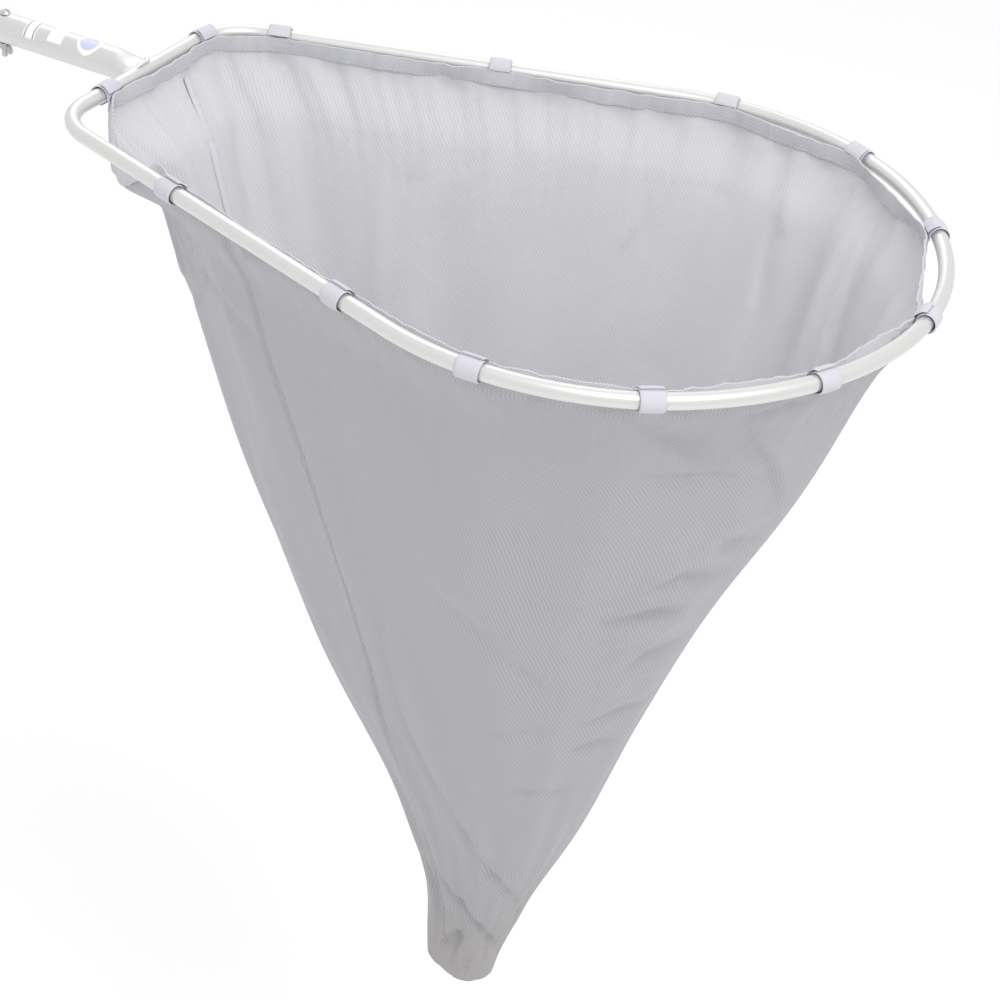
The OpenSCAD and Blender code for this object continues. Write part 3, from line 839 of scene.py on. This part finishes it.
def band(name, path, half, thick, place, body, edge_wave, seed):
    """Webbing along a path in the tab's plane, with rounded selvedges."""
    origin, x, n3 = place
    normals = path_normals(path)
    r = np.random.default_rng(seed)
    ph = r.uniform(0, 6, 2)
    cols = 15
    t = np.concatenate([[0], np.cumsum(np.linalg.norm(np.diff(path, axis=0), axis=1))])
    verts_out, verts_in, uvs = [], [], []
    for i, (p, nn) in enumerate(zip(path, normals)):
        grow = 1 + edge_wave * math.sin(t[i] / 0.008 + ph[0])
        for j in range(cols):
            w = (j / (cols - 1) - 0.5) * 2
            edge = 1 - 0.55 * max(0.0, (abs(w) - 0.86) / 0.14) ** 2
            xx = w * half * grow
            crown = 0.00018 * (1 - w * w)
            for store, off in ((verts_out, thick * edge + crown), (verts_in, thick * (1 - edge))):
                q = p + nn * off
                store.append(origin + x * xx + n3 * q[0] + up * q[1])
            uvs.append((xx, t[i]))
    rows_n = len(path)
    v = verts_out + verts_in
    m = rows_n * cols
    f = grid_faces(rows_n, cols, flip=True) + grid_faces(rows_n, cols, start=m)
    for i in range(rows_n - 1):
        a, b = i * cols, (i + 1) * cols
        f.append([a, b, m + b, m + a])
        f.append([a + cols - 1, m + a + cols - 1, m + b + cols - 1, b + cols - 1])
    for j in range(cols - 1):
        f.append([j, m + j, m + j + 1, j + 1])
        e = (rows_n - 1) * cols + j
        f.append([e, e + 1, m + e + 1, m + e])
    return make_mesh(name, v, f, WEBBING, body=body, uv=np.array(uvs + uvs))


for k, s in enumerate(TAB_S):
    r = np.random.default_rng(40 + k)
    place = origin, x, n3 = frame_at(s, math.radians(r.uniform(-2.5, 2.5)))
    slack = r.uniform(0.0004, 0.0009)
    turn = math.radians(r.uniform(150, 260))
    # the loop ends in the tongue that is sewn down the outer face of the hem
    drop = np.stack([np.linspace(0.0079, 0.0080, 10), np.linspace(-0.0112, -0.0040, 10)], 1)
    a = np.linspace(math.radians(-28), math.radians(285), 80)
    rr = TUBE_R + 0.00045 + slack * (0.5 + 0.5 * np.cos(a - turn)) + 0.0001 * np.sin(3 * a + turn)
    rr = rr + 0.0007 * (1 - smooth_step(a, math.radians(-28), math.radians(15)))
    ring = np.stack([rr * np.cos(a), rr * np.sin(a)], 1)
    path = np.concatenate([drop, ring], 0)
    band(f"tab_strap_{k + 1:02d}", path, TAB_W / 2, 0.00125, place, "frame", 0.012, k)
    # the free end lies over the strap from the top of the tube down its inner side
    lift = r.uniform(0.0, 0.0010) + (0.0016 if k in (1, 11) else 0)
    a = np.linspace(math.radians(88), math.radians(r.uniform(14, 24)), 34)
    u = np.linspace(0, 1, len(a))
    rr = 0.00915 + lift * smooth_step(u, 0.55, 1.0) + 0.00015 * np.sin(5 * u + k)
    path = np.stack([rr * np.cos(a), rr * np.sin(a)], 1)
    free_end = band(f"tab_free_end_{k + 1:02d}", path, TAB_W / 2 - 0.0002, 0.00105, place,
                    f"free_tab_end_{k + 1:02d}", 0.01, 50 + k)
    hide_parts(f"tab_end_{k + 1:02d}")
    # two rows of stitches hold the tongue to the hem, seen on the hem's inner face
    for row, z in enumerate((-0.0045, -0.0098)):
        xs = np.linspace(-0.42, 0.42, 12) * TAB_W
        pts = np.array([origin + x * q + n3 * 0.01085 + up * z for q in xs])
        stitch_row(f"tab_stitch_{k + 1:02d}_{row}", pts, np.repeat(n3[None], len(xs), 0),
                   0.0019, 0.0009, 0.0004, 0.0002)
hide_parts("tab_straps")


# ------------------------------------------------------------------ handle, welds, bolt and nut

def handle_ring(h, w, n=96):
    """A stadium h high and w wide, both half sizes, with n points."""
    a = 2 * math.pi * np.arange(n) / n
    y, z = np.cos(a), np.sin(a)
    e = 2 + 1.1 * (1 - h / w)
    rad = (np.abs(y) ** e + np.abs(z) ** e) ** (-1 / e)
    return np.stack([w * rad * y, h * rad * z], 1)


def handle_loft(r, end_h, n=96):
    xs = np.concatenate([np.array([0, 0.0006, 0.0014]), np.linspace(0.004, BASE_X - NECK - 0.006, 26),
                         np.linspace(BASE_X - NECK - 0.002, BASE_X, 30)])
    rings = []
    for x in xs:
        k = smooth_step(x, BASE_X - NECK - 0.004, BASE_X - 0.004)
        h = r * (1 - k) + end_h * k
        w = r + (r - h) * 0.52
        yz = handle_ring(h, w, n)
        bar = BASE_X - np.sqrt(np.maximum((TUBE_R - 0.0002) ** 2 - yz[:, 1] ** 2, 0))
        start = BASE_X - 0.022
        xx = np.where(x < start, x, start + (x - start) / (BASE_X - start) * (bar - start)) * np.ones(n)
        rings.append(np.stack([xx, yz[:, 0], yz[:, 1]], 1))
    return np.array(rings)


outer = handle_loft(HANDLE_R, TUBE_R + 0.0003)
# a small deburred edge at the open end
outer[0, :, 1:] *= (HANDLE_R - 0.0004) / HANDLE_R
inner = handle_loft(HANDLE_R - HANDLE_WALL, TUBE_R - 0.0012)
inner[0, :, 1:] *= (HANDLE_R - HANDLE_WALL + 0.0003) / (HANDLE_R - HANDLE_WALL)
rows_h, cols_h = outer.shape[:2]
v = np.concatenate([outer.reshape(-1, 3), inner.reshape(-1, 3)])
m = rows_h * cols_h
f = grid_faces(rows_h, cols_h, close_cols=True, flip=True)
f += grid_faces(rows_h, cols_h, close_cols=True, start=m)
for j in range(cols_h):
    j2 = (j + 1) % cols_h
    f.append([j, j2, m + j2, m + j])
    e = (rows_h - 1) * cols_h
    f.append([e + j2, e + j, m + e + j, m + e + j2])
handle = make_mesh("handle_body", v, f, HANDLE_METAL)
# clearance holes for the bolt, top and bottom
hole_a = 2 * math.pi * np.arange(40) / 40
hole_v = [(BOLT_X + BOLT_HOLE_R * math.cos(t), BOLT_HOLE_R * math.sin(t), z)
          for z in (-0.02, 0.02) for t in hole_a]
hole_f = grid_faces(2, 40, close_cols=True) + [list(range(40)), list(range(40, 80))]
drill_mesh = bpy.data.meshes.new("drill")
drill_mesh.from_pydata(hole_v, [], hole_f)
tool = bmesh.new()
tool.from_mesh(drill_mesh)
bmesh.ops.recalc_face_normals(tool, faces=tool.faces)
tool.to_mesh(drill_mesh)
tool.free()
drill = bpy.data.objects.new("drill", drill_mesh)
bpy.context.scene.collection.objects.link(drill)
cut = handle.modifiers.new("holes", "BOOLEAN")
cut.operation, cut.solver, cut.object = "DIFFERENCE", "EXACT", drill
apply_modifiers(handle)
crease(handle)
bpy.data.objects.remove(drill)
bpy.data.meshes.remove(drill_mesh)
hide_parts("handle_tube")

# one rippled bead all round the joint
seam = outer[-1]
cen = np.array([BASE_X, 0, 0])
seam_fine = []
for k in range(4):
    seam_fine.append(seam + (np.roll(seam, -1, 0) - seam) * k / 4)
seam_fine = np.stack(seam_fine, 1).reshape(-1, 3)
tang = np.roll(seam_fine, -1, 0) - np.roll(seam_fine, 1, 0)
tang /= np.linalg.norm(tang, axis=1)[:, None]
out = seam_fine - cen
out[:, 0] = -0.004
out /= np.linalg.norm(out, axis=1)[:, None]
b1 = np.cross(tang, out)
b1 /= np.linalg.norm(b1, axis=1)[:, None]
b2 = np.cross(b1, tang)
arc = np.concatenate([[0], np.cumsum(np.linalg.norm(np.diff(seam_fine, axis=0), axis=1))])
ripple = np.abs(np.sin(arc / 0.0016 * math.pi)) ** 0.6
size = 0.0017 + 0.00032 * ripple + 0.0003 * noise1(arc, 31, 0.012)
a = 2 * math.pi * np.arange(18) / 18
profile = np.stack([size[:, None] * np.cos(a) * 1.35, size[:, None] * np.sin(a)], -1)
v, f = sweep(seam_fine + b2 * 0.0003, b1, b2, profile, close_path=True)
bead = make_mesh("weld_bead", v, f, WELD_METAL)
# fillets that run out along the bar beside the handle
for side in (-1, 1):
    n = 26
    t = np.linspace(0, 1, n)
    y = side * (0.0138 + 0.0062 * t)
    x = BASE_X - TUBE_R * 0.70 - 0.0006 * (1 - t) ** 2
    r = (0.0034 * (1 - t) ** 0.9 + 0.0009) * (1 + 0.05 * np.sin(t * 30))
    path = np.stack([x + 0.0 * t + 0.0012 * t, y, 0 * t], 1)
    tg = np.gradient(path, axis=0)
    tg /= np.linalg.norm(tg, axis=1)[:, None]
    upv = np.repeat(up[None], n, 0)
    sd = np.cross(tg, upv)
    prof = np.stack([r[:, None] * np.cos(a) * 0.9, r[:, None] * np.sin(a) * 1.05], -1)
    v, f = sweep(path, sd, upv, prof)
    make_mesh("weld_fillet_near" if side < 0 else "weld_fillet_far", v, f, WELD_METAL)
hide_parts("welds")

# thread on the shank below the wing nut
z0, z1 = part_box("bolt")[0][2] + 0.0006, -0.0135
turns = (z1 - z0) / THREAD_PITCH
ang = np.linspace(0, 2 * math.pi * turns, int(turns * 40))
zz = z0 + (z1 - z0) * ang / ang[-1]
path = np.stack([BOLT_X + 0.00236 * np.cos(ang), 0.00236 * np.sin(ang), zz], 1)
rad = np.stack([np.cos(ang), np.sin(ang), 0 * ang], 1)
fade = smooth_step(ang, 0, 4) * (1 - smooth_step(ang, ang[-1] - 4, ang[-1]))
crest = np.stack([0.00028 * fade, 0 * fade], 1)
foot = np.array([[-0.0001, 0.00042]] * len(fade))
prof = np.stack([crest, foot, foot * [1, -1]], 1)
v, f = sweep(path, rad, np.repeat(up[None], len(ang), 0), prof)
make_mesh("bolt_thread", v, f, BOLT_METAL, body="cross_bolt")

# wing nut: a cast body with two ears, fused and softened
lo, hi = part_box("wing_nut")
nut_top = hi[2]
parts_v, parts_f = [], []


def add_part(v, f):
    base = sum(len(p) for p in parts_v)
    parts_v.append(np.asarray(v))
    parts_f.extend([[base + i for i in face] for face in f])


prof = [(0.0026, 0.0), (0.0048, 0.0), (0.0049, 0.0006), (0.0043, 0.0050), (0.0038, 0.0060), (0.0026, 0.0060)]
nn = 48
a = 2 * math.pi * np.arange(nn) / nn
v = np.array([[r * math.cos(t), r * math.sin(t), -z] for r, z in prof for t in a])
add_part(v, grid_faces(len(prof), nn, close_cols=True, close_rows=True, flip=True))
for side in (-1, 1):
    # an ear: its outline grows from the body and ends in a round lobe
    t = np.linspace(0, 2 * math.pi, 40, endpoint=False)
    lobe = np.stack([side * (0.0084 + 0.0034 * np.cos(t)), -(0.0042 + 0.0036 * np.sin(t))], 1)
    v, centre = [], np.array([side * 0.0030, -0.0030])
    for k in np.linspace(0.0, 1.0, 9):
        ring = centre + (lobe - centre) * (0.15 + 0.85 * k)
        half = 0.0013 - 0.0004 * k
        v.append(np.stack([ring[:, 0], np.full(40, half), ring[:, 1]], 1))
    edge = v[-1].copy()
    edge[:, 1] = 0
    edge[:, [0, 2]] += (edge[:, [0, 2]] - np.array([side * 0.0084, -0.0042])) * 0.09
    full_v = v + [edge] + [w * [1, -1, 1] for w in v[::-1]]
    vv = np.array(full_v).reshape(-1, 3)
    ff = grid_faces(len(full_v), 40, close_cols=True)
    ff += [list(range(40))[::-1], list(range(len(vv) - 40, len(vv)))]
    add_part(vv, ff)
v = np.concatenate(parts_v)
rot = math.radians(-26)
c, s_ = math.cos(rot), math.sin(rot)
v = np.stack([BOLT_X + v[:, 0] * c - v[:, 1] * s_, v[:, 0] * s_ + v[:, 1] * c, nut_top + v[:, 2]], 1)
nut = make_mesh("wing_nut_cast", v, parts_f, NUT_METAL, body="nut")
rm = nut.modifiers.new("fuse", "REMESH")
rm.mode, rm.voxel_size = "VOXEL", 0.00022
sm = nut.modifiers.new("soften", "SMOOTH")
sm.factor, sm.iterations = 0.6, 4
apply_modifiers(nut)
nut.data.shade_smooth()
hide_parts("wing_nut")


# ------------------------------------------------------------------ carried-over CAD nodes

def give(node, material):
    o = nodes[node]
    o.data.materials.clear()
    o.data.materials.append(material)


for name in ("hoop_base", "hoop_sides", "hoop_shoulders", "hoop_nose"):
    give(name, TUBE_METAL)
give("bolt", BOLT_METAL)


def striped_label(name, node, edges):
    """Blank printed film with two plain dark lines near its ends."""
    lo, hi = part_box(node)
    m = Nodes(name)
    x = m.add("SeparateXYZ", None, Vector=m.add("TexCoord").outputs["Object"]).outputs[0]
    white = (0.86, 0.86, 0.86)
    c = m.mix(m.math("MULTIPLY", m.noise(400, 3, 0.6), 0.2), white, (0.74, 0.74, 0.74))
    for a in edges:
        at = lo[0] + a if a > 0 else hi[0] + a
        band_ = m.math("LESS_THAN", m.math("ABSOLUTE", m.math("SUBTRACT", x, at)), 0.0006)
        c = m.mix(m.math("MULTIPLY", band_, 0.75), c, (0.10, 0.10, 0.11))
    return m.set(Base_Color=c, Roughness=0.32, Normal=m.bump(m.noise(700, 2, 0.5), 0.05, 0.0002))


give("box_label", striped_label("label_lines", "box_label", (0.0017, -0.0017)))
give("plain_label", LABEL)
lo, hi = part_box("round_label")
mid = (np.array(lo) + np.array(hi)) / 2
give("round_label", label_material("label_round", (0.88, 0.88, 0.90), spot=(0.56, 0.58, 0.76),
                                   centre=(float(mid[0]), -0.0033, 0.0123), radius=0.0082))


# ------------------------------------------------------------------ floor, light and camera

FLOOR_HALF, FLOOR_Z = 14.0, -1.25
floor_mesh = bpy.data.meshes.new("floor")
floor_corners = [(x * FLOOR_HALF, y * FLOOR_HALF, FLOOR_Z) for x, y in ((-1, -1), (1, -1), (1, 1), (-1, 1))]
floor_mesh.from_pydata(floor_corners, [], [(0, 1, 2, 3)])
floor = bpy.data.objects.new("floor", floor_mesh)
bpy.context.scene.collection.objects.link(floor)
fm = Nodes("floor_paint")
fm.set(Base_Color=(0.975, 0.975, 0.975), Roughness=0.9)
fm.bsdf.inputs["Specular IOR Level"].default_value = 0.1
floor_mesh.materials.append(fm.mat)

world = bpy.data.worlds.new("studio")
bpy.context.scene.world = world
world.use_nodes = True
bg = world.node_tree.nodes["Background"]
bg.inputs[0].default_value = (1.0, 1.0, 1.0, 1)
bg.inputs[1].default_value = 0.94


def area_light(name, at, towards, size, power):
    """A square soft light: size in metres, power in watts."""
    d = bpy.data.lights.new(name, "AREA")
    d.shape, d.size, d.energy = "SQUARE", size, power
    o = bpy.data.objects.new(name, d)
    o.location = at
    o.rotation_euler = (Vector(towards) - Vector(at)).to_track_quat("-Z", "Y").to_euler()
    bpy.context.scene.collection.objects.link(o)
    return o


middle = (0.55, 0, -0.25)
area_light("key", (1.9, -0.9, 2.2), middle, 1.3, 32)
area_light("fill", (-0.9, 1.8, 1.9), middle, 1.6, 12)

cam_data = bpy.data.cameras.new("camera")
cam_data.sensor_width, cam_data.lens = 36.0, 100.16
cam_data.clip_start, cam_data.clip_end = 0.05, 60
cam = bpy.data.objects.new("camera", cam_data)
# the directions of the camera's right side, top and back
right = Vector((0.88531, 0.45259, 0.10675))
upward = Vector((-0.32312, 0.43365, 0.84115))
back = Vector((0.33441, -0.77917, 0.53016))
rot3 = Matrix((right, upward, back)).transposed()
cam.matrix_world = Matrix.Translation((1.30196, -1.78567, 0.93911)) @ rot3.to_4x4()
bpy.context.scene.collection.objects.link(cam)
bpy.context.scene.camera = cam
bpy.context.scene.view_settings.view_transform = "Standard"
bpy.context.scene.view_settings.look = "None"
